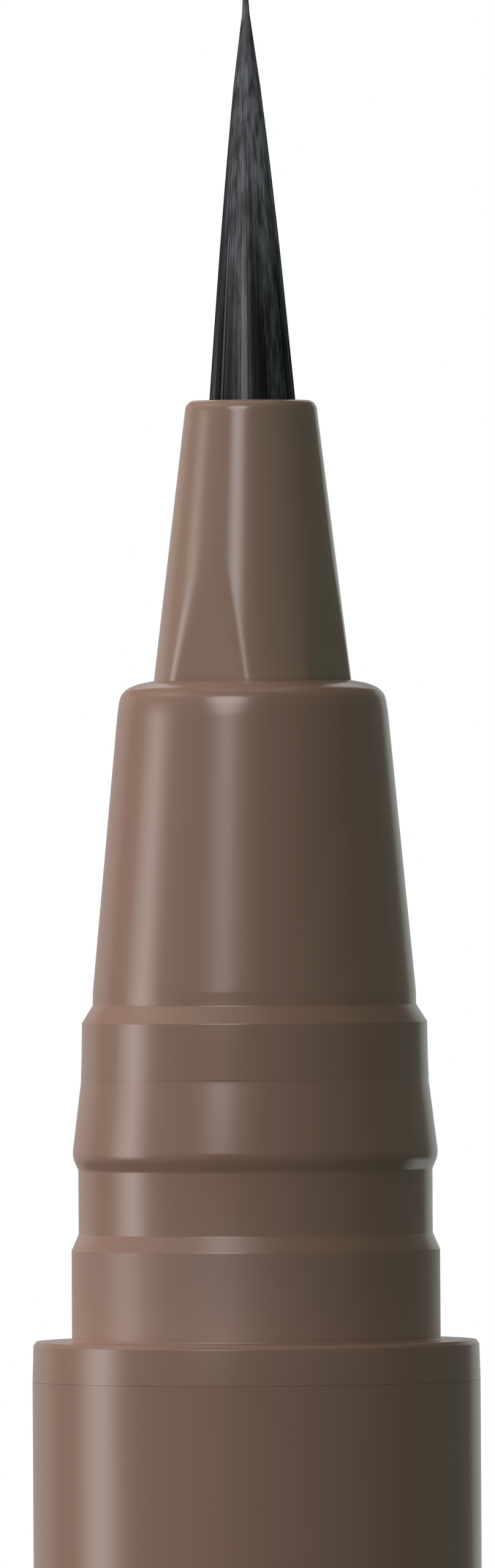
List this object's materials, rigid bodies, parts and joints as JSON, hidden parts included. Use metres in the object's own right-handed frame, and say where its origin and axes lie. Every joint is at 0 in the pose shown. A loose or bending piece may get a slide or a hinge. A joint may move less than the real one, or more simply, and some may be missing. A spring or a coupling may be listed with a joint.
{
  "type": "eyebrow pen",
  "caption": "Slim liquid eyebrow pen standing on its posted cap: fine tapered brush, tapered nozzle, stepped nose with snap bead and flange, straight barrel.",
  "frame": {"origin": "centre of the flat closed end of the cap, which the pen stands on", "axes": "+Z along the pen's axis, up towards the tip of the brush; -Y is the side that the picture is taken from, +X is its right"},
  "size_m": [0.0104, 0.0104, 0.156],
  "materials": {
    "bristles": "fine black nylon filament with a soft sheen",
    "nozzle_plastic": "moulded acetal, greyish brown, soft gloss",
    "front_plastic": "moulded ABS, taupe brown, gloss",
    "barrel_plastic": "moulded ABS, taupe brown, gloss",
    "natural_plastic": "unpigmented polypropylene, satin",
    "fibre": "bonded polyester fibre",
    "seal_rubber": "nitrile rubber, matt",
    "ball_steel": "polished stainless steel",
    "spring_steel": "drawn stainless wire"
  },
  "bodies": {
    "cap": {"cap_shell": "barrel_plastic", "inner_cap_spring": "spring_steel"},
    "pen": {"bristles": "bristles", "brush_holder": "natural_plastic", "nozzle": "nozzle_plastic", "front_barrel": "front_plastic", "relay_core": "fibre", "collector": "natural_plastic", "collector_seal": "seal_rubber", "barrel": "barrel_plastic", "tail_plug": "front_plastic", "tail_seal": "seal_rubber"},
    "inner_cap": {"inner_cap": "natural_plastic"},
    "mixing_ball": {"mixing_ball": "ball_steel"}
  },
  "joints": [
    {"name": "pen_draw", "type": "slide", "parent": "cap", "child": "pen", "axis": [0, 0, 1], "range_m": [0, 0.03]},
    {"name": "inner_cap_slide", "type": "slide", "parent": "cap", "child": "inner_cap", "axis": [0, 0, -1], "range_m": [0, 0.0015], "stiffness_N_per_m": 400, "springref_m": -0.003, "deforming": ["inner_cap_spring"]},
    {"name": "ball_run", "type": "slide", "parent": "pen", "child": "mixing_ball", "axis": [0, 0, 1], "range_m": [0, 0.069]}
  ]
}
